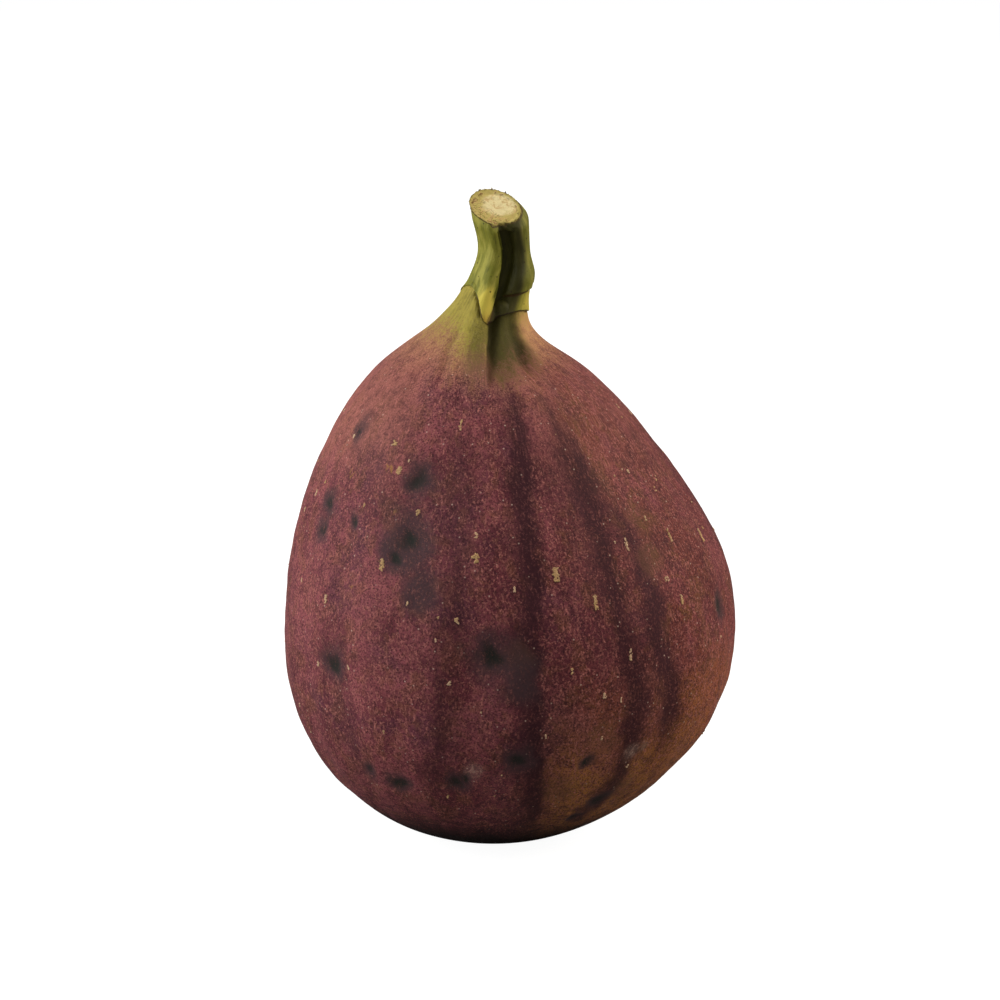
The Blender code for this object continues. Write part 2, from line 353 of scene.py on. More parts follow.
def turn(angles):
    """Differences of angles, brought to -180..180 degrees."""
    return (angles + 180) % 360 - 180


def flow(spots):
    """A vector in mm that runs with the skin: its z goes from the eye up to the stem."""
    angle, height, distance = round_core(spots)
    inside = np.maximum(np.interp(height, levels, core_radius) - distance - 1, 0)
    up = np.interp(height, levels, along) - inside
    angle = np.radians(angle)
    return np.stack([FLOW_RADIUS * np.cos(angle), FLOW_RADIUS * np.sin(angle), up], axis=1)


def line_weight(angle, height, distance, route, left, right=None, fade=3.0):
    """1 on a line through (height, angle) points, falling to 0 over left and right mm beside it."""
    heights, angles = zip(*sorted(route))
    away = np.radians(turn(angle - np.interp(height, heights, angles))) * distance
    width = np.where(away < 0, left, right or left)
    ends = ease(heights[0] - fade, heights[0] + fade, height)
    ends = ends * (1 - ease(heights[-1] - fade, heights[-1] + fade, height))
    return bump_at(away, width) * ends


print("places round the core can be read")

# %% [markdown]
# ## Shader maths
#
# A material is a small calculation at each point of the surface. Written as Python expressions it
# stays readable: a Wire is whatever flows out of a node, and adding or multiplying wires adds the
# Math nodes that do it. Colours go through Mix nodes, because a Math node would turn them grey.

# %% A wire that can be added and multiplied
class Wire:
    """What flows out of a node's socket. Sums and products of wires add Math nodes."""

    def __init__(self, finish, socket):
        self.finish = finish
        self.socket = socket

    def maths(self, operation, *values):
        return self.finish.node("Math", {"operation": operation}, dict(enumerate(values)))

    def __add__(self, other):
        return self.maths("ADD", self, other)

    def __sub__(self, other):
        return self.maths("SUBTRACT", self, other)

    def __rsub__(self, other):
        return self.maths("SUBTRACT", other, self)

    def __mul__(self, other):
        return self.maths("MULTIPLY", self, other)

    def __abs__(self):
        return self.maths("ABSOLUTE", self)

    __radd__ = __add__
    __rmul__ = __mul__


print("wires are ready")

# %% A finish and the nodes that paint it
class Finish:
    """One material. Its colour grows as layers are laid over each other."""

    def __init__(self, name):
        self.material = bpy.data.materials.new(name)
        self.material.use_nodes = True
        self.tree = self.material.node_tree
        self.shader = self.tree.nodes["Principled BSDF"]
        here = self.node("TexCoord", out="Object")
        self.place = self.stretched(here, (1 / MM,) * 3)

    def node(self, kind, settings=None, inputs=None, out=0):
        """Adds a node: its settings first, then a value or a wire for each input."""
        made = self.tree.nodes.new("ShaderNode" + kind)
        for name, value in (settings or {}).items():
            setattr(made, name, value)
        for name, value in (inputs or {}).items():
            if isinstance(value, Wire):
                self.tree.links.new(value.socket, made.inputs[name])
            else:
                made.inputs[name].default_value = value
        return Wire(self, made.outputs[out])

    def stretched(self, vector, scale):
        return self.node("Mapping", {}, {"Vector": vector, "Scale": scale})

    def read(self, name, out="Fac"):
        """A number, or with out="Vector" a vector, noted on the mesh."""
        return self.node("Attribute", {"attribute_name": name}, out=out)

    def axis(self, vector, letter):
        """One of a vector's three numbers."""
        return self.node("SeparateXYZ", {}, {"Vector": vector}, out=letter)

    def noise(self, vector, size, detail=2.0, roughness=0.5, distortion=0.0, scale=None):
        """Noise from 0 to 1 with lumps of about this size in mm, drawn out where scale is small."""
        grain = {"Scale": 1 / size, "Detail": detail, "Roughness": roughness, "Distortion": distortion}
        place = self.stretched(vector, scale) if scale else vector
        return self.node("TexNoise", {}, {"Vector": place, **grain})

    def step(self, value, low, high):
        """0 below low, 1 above high, smooth between. With low above high it runs the other way."""
        ends = {"From Min": min(low, high), "From Max": max(low, high)}
        ends.update({"To Min": float(low > high), "To Max": float(low < high)})
        return self.node("MapRange", {"interpolation_type": "SMOOTHSTEP"}, {"Value": value, **ends})

    def mix(self, under, over, share):
        """One colour laid over another where share is 1."""
        return self.node("Mix", {"data_type": "RGBA"}, {6: under, 7: over, 0: share}, out=2)

    def lay(self, over, share):
        """Lays a colour over all that is painted so far, where share is 1."""
        self.colour = self.mix(self.colour, over, share)

    def specks(self, spacing, size, share):
        """Round specks of this size in mm, on a share of the cells of this spacing."""
        cells = {"Vector": self.place, "Scale": 1 / spacing, "Randomness": 1.0}
        distance = self.node("TexVoronoi", {}, cells, out="Distance")
        chance = self.node("TexVoronoi", {}, cells, out="Color")
        chance = self.node("SeparateColor", {}, {"Color": chance}, out="Red")
        round_spots = self.step(distance, size / spacing, 0.4 * size / spacing)
        return round_spots * self.step(chance, share, share - 0.02)

    def wear(self, roughness, height, depth, shine):
        """Joins the paint to the shader: depth is the relief's height in mm."""
        bump = self.node("Bump", {}, {"Height": height, "Distance": depth * MM, "Strength": 1.0})
        varying = {"Base Color": self.colour, "Roughness": roughness, "Normal": bump}
        for name, wire in varying.items():
            self.tree.links.new(wire.socket, self.shader.inputs[name])
        self.shader.inputs["Specular IOR Level"].default_value = shine
        return self.material


def paint_of(red, green, blue):
    """A colour given as on a paint chart, 0 to 255, in the linear values that shaders use."""
    shares = [c / 255 for c in (red, green, blue)]
    return (*[s / 12.92 if s < 0.04045 else ((s + 0.055) / 1.055) ** 2.4 for s in shares], 1)


print("shader tools are ready")

# %% [markdown]
# ## The fruit's skin: shape
#
# The skin is one closed surface that grew as one piece. It could be turned afresh from its
# outline. A copy of the solid is better: it already has the ribs, the folds and the flat foot at
# the right places. Its triangles are joined to quads, its top is drawn up a little so that it runs
# in under the bracts, and two levels of subdivision make it fine enough for small relief.

# %% Copy the fruit and round it off
CAP_ABOVE = 58
CAP_FACING_UP = 0.6
TOP_RISE = 0.7
TOP_SCALE = 0.84
BRACT_FOOT = 3.9

skin = quad_copy("fruit", "fruit_skin")
middles = np.array([face.center for face in skin.data.polygons]) / MM
facing_up = np.array([face.normal.z for face in skin.data.polygons])
_, face_height, face_reach = round_core(middles)
cap = (facing_up > CAP_FACING_UP) & (face_height > CAP_ABOVE) & (face_reach < BRACT_FOOT)
edit(
    skin,
    (bpy.ops.mesh.select_mode, {"type": "FACE"}),
    (bpy.ops.mesh.extrude_region_move, {"TRANSFORM_OT_translate": {"value": (0, 0, TOP_RISE * MM)}}),
    (bpy.ops.transform.resize, {"value": (TOP_SCALE, TOP_SCALE, 1)}),
    chosen=on_faces(skin, cap),
)
subdivide(skin, 2)
print("skin: raised", cap.sum(), "cap faces;", len(skin.data.polygons), "quads")

# %% Press the neck's creases and the small unevenness
CREASES = [
    # depth, width to the left and right in mm, and the line's (height, angle) points
    (0.60, 0.16, 1.00, [(53.4, -85), (54.5, -83), (55.8, -79), (56.8, -76), (58.3, -74), (60.0, -73)]),
    (0.45, 0.60, 0.90, [(53.6, -58), (54.7, -54), (55.6, -50), (56.5, -45), (57.4, -41)]),
    (0.18, 0.50, 0.50, [(54.0, -112), (56.0, -114), (59.0, -118)]),
    (0.30, 0.60, 0.60, [(53.0, 52), (56.0, 56), (60.0, 58)]),
    (0.35, 0.70, 0.50, [(53.0, 108), (56.0, 111), (60.0, 112)]),
    (0.25, 0.60, 0.60, [(53.5, 166), (56.5, 167), (60.0, 168)]),
]
CREASE_FADE = 1.2
BELLY = (2, 8, 50, 56)
LUMPS = {"depth": 0.35, "lumps": 7.0, "middle": 0.5}
FINE_LUMPS = {"depth": 0.07, "lumps": 1.6, "middle": 0.5}

crease = 0
angle, height, distance = round_core(points(skin))
for depth, left, right, line in CREASES:
    weight = line_weight(angle, height, distance, line, left, right, CREASE_FADE)
    crease = np.maximum(crease, weight * depth)
press(skin, crease, 1.0)
belly = ease(*BELLY[:2], height) * (1 - ease(*BELLY[2:], height))
press(skin, belly, **LUMPS)
press(skin, belly, **FINE_LUMPS)
note(skin, crease=crease / CREASES[0][0])
print("skin:", len(CREASES), "creases pressed")

# %% [markdown]
# ## The fruit's skin: marks
#
# A ripe fig darkens in stripes over the valleys between its ribs, and bruises show as soft grey
# rings round a dark green middle. These have places, so they are worked out on the mesh's points
# and left there as numbers. The material then reads them and frays their edges with noise. The
# marks in front are set one by one, and those behind follow at random in the same manner. One
# broad, faint band down the front's middle is painted shade.

# %% Say where the stripes are
STRIPES_AND_FRONT_SHADE = [
    # how dark, half width in mm to the left and right, and the line's (height, angle) points
    # the first, broad and faint row is painted shade that darkens the front's middle
    (0.12, 5.0, 4.0, [(3, -80), (16, -82), (28, -83), (40, -79), (49, -75)]),
    (1.00, 2.1, 1.0, [(5, -78), (16, -83), (25, -85), (40, -81), (47, -76), (53, -74)]),
    (0.90, 1.6, 1.7, [(6, -61), (9, -57), (22, -57), (27, -60), (36, -61), (42, -58), (49, -55)]),
    (0.80, 1.4, 2.0, [(16, -44), (22, -46), (27, -50), (36, -50), (42, -51)]),
    (0.60, 2.2, 1.6, [(10, -111), (20, -107), (30, -104), (40, -101), (49, -98)]),
    (0.45, 1.8, 1.5, [(9, -133), (21, -135), (32, -138)]),
    (0.40, 1.0, 1.4, [(27, -26), (32, -25), (37, -20)]),
    (0.55, 1.6, 1.8, [(41, -61), (48, -60), (52, -57)]),
    (0.40, 3.0, 3.0, [(14, -54), (24, -53), (33, -52)]),
    (0.40, 2.0, 2.2, [(24, -68), (34, -67), (44, -68), (49, -68)]),
    (0.70, 1.2, 1.6, [(6, -61), (9, -57), (22, -57), (26, -59)]),
    (0.75, 1.2, 1.8, [(16, -44), (22, -46), (28, -50)]),
    (0.18, 2.6, 2.0, [(12, -96), (22, -95), (33, -93), (44, -90)]),
]
print(len(STRIPES_AND_FRONT_SHADE), "rows of stripes in front")

# %% Say where the bruises, patches and rings are
BRUISES = [
    # angle, height in mm, size of the dark middle and of the grey ring in mm
    (-117, 38.6, 1.1, 3.6),
    (-120, 37.0, 0.9, 2.6),
    (-113, 33.9, 0.0, 2.6),
    (-114, 44.4, 1.2, 2.3),
    (-149, 40.4, 0.9, 1.9),
    (-148, 37.6, 0.6, 1.5),
    (-151, 37.4, 0.6, 1.5),
    (-139, 24.4, 1.3, 2.4),
    (-94, 27.4, 1.5, 3.4),
    (-88, 25.0, 0.0, 2.8),
    (-21, 28.2, 1.1, 1.8),
    (-68, 14.7, 0.7, 1.2),
    (-129, 12.6, 0.6, 1.4),
    (-120, 11.8, 0.8, 1.6),
    (-104, 12.8, 0.8, 1.5),
    (-101, 13.4, 0.6, 1.1),
    (-88, 15.6, 1.2, 2.4),
    (-58, 8.8, 0.9, 1.4),
    (-62, 6.4, 0.5, 0.9),
    (-137, 39.6, 0.4, 0.8),
    (-147, 48.3, 0.6, 1.5),
]
PATCHES = {
    # angle, height and size in mm of each kind's patches
    "olive_patch": [
        (-89, 27.2, 2.0), (-46, 35.5, 2.4), (-42, 39.3, 2.2), (-74, 11.5, 2.4), (-66, 17.5, 2.6),
        (-51, 9.6, 2.2), (60, 30.0, 2.6), (120, 18.0, 3.0), (160, 41.0, 2.2),
    ],
    "fuzz": [
        (-56, 14.9, 1.2), (-52, 15.2, 0.9), (-99, 14.4, 1.3), (35, 22.0, 1.5), (150, 25.0, 1.4),
    ],
}
YELLOW_RINGS = [
    # angle, height and radius in mm
    (-126, 45.1, 0.42), (-142, 44.0, 0.34), (-121, 41.2, 0.30), (-134, 33.0, 0.28),
    (64, 40.0, 0.40), (138, 31.0, 0.35),
]
print(len(BRUISES), "bruises in front,", len(YELLOW_RINGS), "yellow rings")

# %% Add the back's stripes and bruises
BACK_STRIPES = 9
BACK_BRUISES = 11
BACK_START = -4
BACK_SPAN = 200

chance = random.Random(SEED)
for k in range(BACK_STRIPES):
    start = BACK_START + k * BACK_SPAN / BACK_STRIPES
    heights = range(chance.choice((8, 14, 20)), 52, 9)
    line = [(h, start + chance.uniform(-5, 5)) for h in heights]
    dark, left, right = (chance.uniform(*ends) for ends in ((0.4, 0.9), (0.9, 2.4), (0.9, 2.4)))
    STRIPES_AND_FRONT_SHADE.append((dark, left, right, line))
for k in range(BACK_BRUISES):
    small = chance.choice((0, 0.5, 0.7, 1.1))
    at, up = chance.uniform(0, 195), chance.uniform(9, 46)
    BRUISES.append((at, up, small, small + chance.uniform(0.8, 2.2)))
print(len(STRIPES_AND_FRONT_SHADE), "rows of stripes and", len(BRUISES), "bruises in all")

# %% Work out how strong each mark is
STRIPE_FADE = 5.0
RING_LINE = 0.16


def spot_weight(angle, height, distance, at, up, size):
    """1 in the middle of a round spot, falling to 0 over this many mm."""
    across = np.radians(turn(angle - at)) * distance
    return bump_at(np.hypot(across, height - up), size)


def stripes_at(angle, height, distance):
    """How dark the stripes are, with the front's painted shade, from 0 to 1: where two meet, they darken
    together.
    """
    clear = 1
    for dark, left, right, line in STRIPES_AND_FRONT_SHADE:
        shade = dark * line_weight(angle, height, distance, line, left, right, STRIPE_FADE)
        clear = clear * (1 - shade)
    return 1 - clear


def spots_at(places, spots):
    """The strongest of these round spots at each place, where a spot has a size."""
    return np.max([spot_weight(*places, *spot) for spot in spots if spot[-1]], axis=0)


def yellow_rings_at(angle, height, distance):
    """Thin yellow rings, 1 on the ring and 0 beside it."""
    on_ring = 0
    for at, up, radius in YELLOW_RINGS:
        away = np.hypot(np.radians(turn(angle - at)) * distance, height - up)
        on_ring = np.maximum(on_ring, bump_at(away - radius, RING_LINE))
    return on_ring


print("stripes fade over", STRIPE_FADE, "mm at their ends")

# %% Note the marks on the skin
BRUISE_DENT = 0.22
WANDER = 0.8
WANDER_SIZE = 2.6

spots = points(skin)
wander = np.array([noise.noise_vector(spot / WANDER_SIZE) for spot in spots]) * WANDER
straight, wandered = round_core(spots), round_core(spots + wander)
core = spots_at(wandered, [(at, up, small) for at, up, small, _ in BRUISES])
note(
    skin,
    flow=flow(spots),
    stripe=stripes_at(*wandered),
    bruise=core,
    bruise_ring=spots_at(wandered, [(at, up, large) for at, up, _, large in BRUISES]),
    yellow_ring=yellow_rings_at(*straight),
    around=turn(straight[0] + 90),
    foot_reach=straight[2],
    **{kind: spots_at(wandered, patches) for kind, patches in PATCHES.items()},
)
press(skin, core, BRUISE_DENT)
skin.data.shade_smooth()
print("marks noted on", len(spots), "points")

# %% [markdown]
# ## The fruit's skin: colour
#
# Seen close, the purple is a felt of fine pale strokes over a wine-red ground, with a few cream
# flecks. It turns brown and olive towards the foot on one side, tan and then green up the neck.
# Paint could be one noise over one colour. Layers in the order in which the real skin has them
# give the eye what it expects: ground, felt, stripes, bruises, and the neck's green over all.
# On top of them some shade is painted: nearly black towards the foot, dark in the neck's creases,
# and faint down the front's middle. The orange at the right edge is partly painted rim light.

# %% Paints for the skin
WINE = paint_of(113, 53, 62)
WINE_LIGHT = paint_of(154, 83, 89)
BROWN = paint_of(120, 59, 43)
ORANGE_AND_RIM_LIGHT = paint_of(210, 112, 72)
OLIVE = paint_of(126, 88, 44)
LOW_OLIVE = paint_of(196, 132, 62)
PLUM = paint_of(58, 26, 34)
VIOLET = paint_of(94, 53, 72)
SHOULDER = paint_of(184, 118, 98)
FELT = paint_of(196, 122, 112)
FLECK = paint_of(216, 186, 168)
YELLOW_MARK = paint_of(176, 130, 62)
OLIVE_GREY = paint_of(112, 80, 52)
RING_GREY = paint_of(74, 54, 58)
CORE_GREEN = paint_of(30, 38, 32)
NECK_TAN = paint_of(216, 166, 112)
NECK_GREEN = paint_of(186, 170, 76)
NECK_PALE = paint_of(204, 186, 112)
NECK_OLIVE = paint_of(68, 66, 24)
FOOT_PAINTED_SHADE = paint_of(24, 11, 10)
FOOT_BROWN = paint_of(92, 50, 38)
CREASE_PAINTED_SHADE = paint_of(52, 46, 18)

print("skin paints are mixed")

# %% What the skin's layers share
def skin_shared(f):
    """Places, noises and masks that more than one layer reads. Angles are 0 in front."""
    n = SimpleNamespace()
    n.run = f.read("flow", out="Vector")
    n.height = f.axis(f.place, "Z")
    n.around = f.read("around")
    n.wide = f.noise(f.place, 9.0) - 0.5
    n.blotch = f.noise(n.run, 3.4, 4.0, 0.62, scale=(1, 1, 0.45))
    n.mottle = f.noise(f.place, 1.2, 4.0, 0.65)
    n.tan_patch = f.noise(n.run, 2.6, 4.0, 0.7, scale=(1.3, 1.3, 0.9))
    n.fine = f.noise(n.run, 0.24, 2.0, 0.6, 0.4, scale=(1, 1, 0.6))
    n.grit = f.noise(f.place, 0.20, 2.0, 0.7)
    n.fray = f.noise(n.run, 1.1, 4.0, 0.65, scale=(1, 1, 0.22)) - 0.5
    n.off_blotch = n.blotch - 0.5
    n.off_mottle = n.mottle - 0.5
    n.off_fine = n.fine - 0.5
    n.blur = (f.noise(f.place, 2.2, 4.0, 0.6) - 0.5) * 0.8 + n.off_fine * 0.5
    n.from_back = f.step(abs(n.around) + n.wide * 40.0, 165.0, 125.0)
    n.on_right = f.step(n.around + n.wide * 90.0, 8.0, 62.0) * n.from_back
    n.shoulder = f.step(n.height + n.wide * 10.0, 40.0, 50.0) * f.step(abs(n.around + 4.0), 14.0, 44.0)
    return n


print("the noises are ready")

# %% The skin's ground
def lay_ground(f, n):
    """Wine-red and violet, brown on the right, orange at its edge that is partly painted rim light, tan
    on the shoulders.
    """
    patchy = f.noise(n.run, 5.5, 3.0, 0.55, scale=(1, 1, 0.7))
    f.colour = f.mix(WINE, WINE_LIGHT, f.step(n.blotch, 0.38, 0.62))
    f.lay(VIOLET, f.step(patchy, 0.50, 0.66) * 0.55)
    f.lay(BROWN, n.on_right * f.step(n.blotch, 0.74, 0.42) * 0.92)
    low = f.step(n.height + n.wide * 16.0, 27.0, 10.0)
    low_right = low * f.step(n.around + n.off_mottle * 14.0, 3.0, 20.0) * n.from_back
    f.lay(LOW_OLIVE, low_right * 0.8)
    bent = n.around + n.wide * 30.0
    # the right edge's orange is partly the skin's own colour and partly painted rim light
    orange = f.step(bent, 46.0, 82.0) * f.step(n.around + n.wide * 40.0, 128.0, 96.0)
    f.lay(ORANGE_AND_RIM_LIGHT, orange * f.step(n.height + n.wide * 20.0, 30.0, 15.0) * 0.64)
    f.lay(OLIVE, f.step(n.tan_patch, 0.48, 0.62) * (n.on_right * 0.25 + 0.35))
    f.lay(SHOULDER, n.shoulder * (0.56 - n.on_right * 0.42))
    far_right = f.step(bent, 46.0, 72.0) * f.step(bent, 130.0, 100.0)
    f.lay(WINE, far_right * f.step(n.height, 14.0, 24.0) * 0.45)
    f.lay(PLUM, f.step(n.mottle, 0.56, 0.34) * 0.5)
    deep = f.noise(n.run, 6.5, 3.0, 0.6, scale=(1, 1, 0.4))
    f.lay(PLUM, f.step(deep, 0.50, 0.68) * 0.34)
    f.lay(WINE_LIGHT, f.step(deep, 0.46, 0.32) * 0.40)


print("the ground is ready")

# %% The skin's felt of pale strokes
def lay_felt(f, n):
    """Short pale strokes in all directions, long ones along the skin, and dark grit between."""
    lines = abs(f.noise(f.place, 0.62, 2.0, 0.5, 1.2) - 0.5)
    long = f.noise(n.run, 0.24, 1.0, scale=(1, 1, 0.2))
    n.strokes = f.step(lines, 0.045, 0.008) * f.step(n.fine, 0.40, 0.58)
    n.strokes = n.strokes + f.step(long, 0.60, 0.72) * f.step(n.tan_patch, 0.44, 0.56) * 0.8
    n.strokes = n.strokes + f.step(long, 0.56, 0.68) * n.shoulder * 0.5
    n.felt = f.step(n.fine, 0.48, 0.66) * 0.5 + n.strokes * 0.8
    f.lay(FELT, n.felt * 0.74)
    f.lay(PLUM, f.step(n.grit, 0.54, 0.36) * (0.8 - n.shoulder * 0.35))


print("the felt is ready")

# %% The skin's marks
def lay_marks(f, n):
    """Stripes with the front's painted shade, cream flecks, patches and rings, then the bruises over
    them.
    """
    # the stripes, and the broad painted shade on the front's middle
    stripe = f.step(f.read("stripe") + n.fray * 0.7 + n.off_blotch * 0.5, 0.05, 1.05)
    f.lay(PLUM, stripe * (0.92 - n.felt * 0.25))
    f.lay(FLECK, f.specks(0.8, 0.12, 0.5) * f.step(n.mottle, 0.38, 0.52) * 0.75)
    patch = f.step(f.read("olive_patch") + n.off_mottle * 0.8, 0.25, 0.85)
    f.lay(OLIVE_GREY, patch * (0.42 - n.felt * 0.2))
    fuzz = f.step(f.read("fuzz") + n.fray * 0.6, 0.2, 1.0)
    f.lay(FLECK, fuzz * (n.strokes * 0.35 + 0.12))
    f.lay(YELLOW_MARK, f.step(f.read("yellow_ring") + n.off_fine, 0.4, 0.9) * 0.6)
    ring = f.step(f.read("bruise_ring") + n.blur, 0.15, 0.85)
    f.lay(RING_GREY, ring * (0.88 - n.felt * 0.3))
    core = f.step(f.read("bruise") + n.blur * 1.3, 0.22, 0.98)
    f.lay(CORE_GREEN, core * (0.88 - n.felt * 0.25))
    stria = f.step(f.noise(f.place, 0.30, scale=(0.22, 0.22, 1)), 0.52, 0.38)
    f.lay(PLUM, stria * f.step(n.height, 11.0, 7.0) * 0.45)


print("the marks are ready")

# %% The skin's neck and foot
def lay_neck(f, n):
    """Tan, then streaked green up the neck, darker olive in front, and painted shade in its folds."""
    climb = n.height - f.step(abs(n.around - 8.0), 0.0, 60.0) * 1.9 + n.off_blotch * 3.0
    climb = climb + n.off_mottle * 4.0 + (n.grit - 0.5) * 5.0
    tan_side = f.step(n.around + n.off_blotch * 12.0, 46.0, 60.0) * f.step(n.around, 110.0, 90.0)
    f.lay(NECK_TAN, f.step(climb, 51.5, 56.5) * (tan_side * 0.45 + 0.4))
    f.lay(NECK_GREEN, tan_side * f.step(climb, 55.6, 58.6) * 0.62)
    near_front = f.step(abs(n.around - 4.0), 22.0, 4.0)
    streaks = f.step(n.fray + n.off_mottle * 0.8 + near_front * 0.2, -0.08, 0.34)
    streaked = f.mix(NECK_GREEN, NECK_OLIVE, streaks * 0.5)
    streaked = f.mix(streaked, NECK_PALE, n.felt * 0.35)
    streaked = f.mix(streaked, BROWN, f.step(n.grit, 0.46, 0.34) * f.step(climb, 60.0, 55.0) * 0.4)
    f.lay(streaked, f.step(climb, 54.6, 57.8) * (1 - tan_side * 0.8))
    beside = f.step(abs(n.around - 1.0 + n.off_mottle * 6.0), 16.0, 3.0)
    f.lay(NECK_OLIVE, beside * f.step(climb, 53.5, 55.5) * f.step(climb, 59.5, 57.5) * 0.5)
    front = f.step(n.around + n.off_blotch * 6.0, 9.0, 15.0)
    front = front * f.step(n.around + n.off_mottle * 12.0, 62.0, 46.0)
    f.lay(NECK_OLIVE, front * f.step(climb, 52.6, 55.6) * 0.92)
    # painted shade: the neck's creases are painted dark
    fold_shade = f.step(f.read("crease") + n.off_fine * 0.3, 0.10, 0.75)
    f.lay(CREASE_PAINTED_SHADE, fold_shade * f.step(climb, 52.0, 55.0) * 0.6)


def lay_foot(f, n):
    """Painted shade, nearly black, towards the foot, and brown on the ring that it stands on."""
    rise = n.height + n.blur * 3.0 + abs(n.around + 20.0) * 0.02
    # painted shade: the skin is painted nearly black towards the foot
    f.lay(FOOT_PAINTED_SHADE, f.step(rise, 8.2, 2.8) * 0.97)
    foot = f.step(f.read("foot_reach") + n.blur * 2.0, 8.5, 5.0) * f.step(n.height, 5.0, 2.0)
    f.lay(FOOT_BROWN, foot * 0.9)


print("the neck and the foot are ready")

# %% Put the skin's layers together
def skin_finish():
    """The fig's skin, from wine-red to green, as layers over each other."""
    f = Finish("fig_skin")
    n = skin_shared(f)
    for layer in (lay_ground, lay_felt, lay_marks, lay_neck, lay_foot):
        layer(f, n)
    return f.wear(0.58 + n.blotch * 0.2, n.felt * 0.5 + n.grit * 0.5, depth=0.06, shine=0.16)


skin.data.materials.append(skin_finish())
print("skin painted with", len(skin.active_material.node_tree.nodes), "nodes")

# %% [markdown]
# ## The stem: shape
#
# The stem is a stalk with a deep furrow down its front. At its foot three small leaves, the
# bracts, lie grown to the neck with their tips down. Again a copy of the solid is rounded off.
# Then the furrow's left wall is cut in steeper, the right bract swells out over its brown ledge,
# and shallow grooves run up the stalk. The cut end gets its rough face and its torn rim.

# %% Copy the stem and draw its bracts down
LIP_CREASE = 0.8
UNDERSIDE_BELOW = 63
FACING_DOWN = -0.5
EDGE_DROPS = [
    # angle, and by how many mm the bracts reach further down there
    (-150, 0.1), (-124, 0.4), (-113, 0.5), (-100, 0.2), (-91, 0.8), (-83, 2.1), (-77, 2.1),
    (-69, 1.5), (-57, 1.2), (-38, 0.8), (0, 0.4), (30, 0.1),
]
DROP_FADE = (0.1, 2.0)

stalk = quad_copy("stem", "stem_skin")
faces = stalk.data.polygons
underside = [face.normal.z < FACING_DOWN and face.center.z < UNDERSIDE_BELOW * MM for face in faces]
under_points = on_faces(stalk, underside)
edit(
    stalk,
    (bpy.ops.mesh.region_to_loop, {}),
    (bpy.ops.transform.edge_crease, {"value": LIP_CREASE}),
    part="polygons",
    chosen=underside,
)


def lip():
    """Angles and heights of the bracts' outer edge, in the order of their angles."""
    angle, height, reach = round_core(points(stalk)[under_points])
    outer = np.nonzero(reach > BRACT_FOOT - 0.5)[0]
    outer = outer[np.argsort(angle[outer])]
    return angle[outer], height[outer]


rim_angles, rim_heights = lip()
angle, height, distance = round_core(points(stalk))
over_edge = height - np.interp(angle, rim_angles, rim_heights, period=360)
drop = np.interp(angle, *zip(*EDGE_DROPS)) * (1 - ease(*DROP_FADE, over_edge))
press(stalk, drop, 1.0, direction="Z")
rim_angles, rim_heights = lip()


def bract_edge(angle):
    """Height at which the bracts end, at this angle."""
    return np.interp(angle, rim_angles, rim_heights, period=360)


print("the bracts end between", rim_heights.min().round(1), "and", rim_heights.max().round(1), "mm up")

# %% Find the cut's rings and draw the cut in
CUT_ABOVE = 66
RING_SHARES = (0, 0.45, 0.86, 1.0, 1.15)
RIM_RING = 3
RIM_CREASE = 0.8
BESIDE_CUT = 2.0
CUT_SHRINK = (0.97, 0.89, 0.89)
CUT_SHIFT = (-0.28, 0.0, -0.02)

stem_points = points(stalk)
neighbours = [set() for _ in stem_points]
for face in stalk.data.polygons:
    for i in face.vertices:
        neighbours[i].update(face.vertices)
on_top = np.nonzero(stem_points[:, 2] > CUT_ABOVE)[0]
rings = [{max(on_top, key=lambda i: len(neighbours[i]))}]
while len(rings) < len(RING_SHARES):
    known = set().union(*rings)
    rings.append({j for i in rings[-1] for j in neighbours[i]} - known)
rim_spots = stem_points[sorted(rings[RIM_RING])]
cut_middle = rim_spots.mean(axis=0)
_, _, directions = np.linalg.svd(rim_spots - cut_middle)
cut_normal = directions[2] * np.sign(directions[2][2])
cut_side = np.cross([0.0, 1.0, 0.0], cut_normal)
cut_side = cut_side / np.linalg.norm(cut_side)
cut_up = np.cross(cut_normal, cut_side)
cut_share = np.full(len(stem_points), BESIDE_CUT)
for share, ring in zip(RING_SHARES, rings):
    cut_share[list(ring)] = share
note(stalk, cut_share=cut_share)

rim_edges = [all(i in rings[RIM_RING] for i in edge.vertices) for edge in stalk.data.edges]
edit(stalk, (bpy.ops.transform.edge_crease, {"value": RIM_CREASE}), part="edges", chosen=rim_edges)
edit(
    stalk,
    (bpy.ops.transform.resize, {"value": CUT_SHRINK, "center_override": Vector(cut_middle) * MM}),
    (bpy.ops.transform.translate, {"value": Vector(CUT_SHIFT) * MM}),
    chosen=cut_share <= 1,
)
cut_middle = cut_middle + CUT_SHIFT
print("cut rings hold", [len(ring) for ring in rings], "points")
subdivide(stalk, 3)
print("stem:", len(stalk.data.polygons), "quads; cut at", cut_middle.round(1))

# %% Say where the furrow, the ledge and the bracts' edges run
# Each line is given as (height, angle) points, but the ledge as (angle, height) points.
FURROW_WALL = [(60.0, -77), (61.6, -79), (63.0, -82), (64.3, -85), (65.6, -90), (67.0, -94), (71.0, -96)]
LEDGE = [(-72, 61.3), (-60, 61.5), (-40, 61.7), (-18, 62.0), (4, 62.3), (20, 62.6)]
LEFT_BRACT = [(58.7, -84), (60.0, -91), (61.3, -99), (63.5, -109), (66.0, -120)]
TIP_EDGE = [(57.6, -82), (58.6, -79), (59.6, -77), (60.6, -78), (62.0, -80)]


def cut_place(spots):
    """Where points lie on the cut: to the right and up in mm, and how far under its plane."""
    off = spots - cut_middle
    return np.stack([off @ cut_side, off @ cut_up, -(off @ cut_normal)], axis=1)


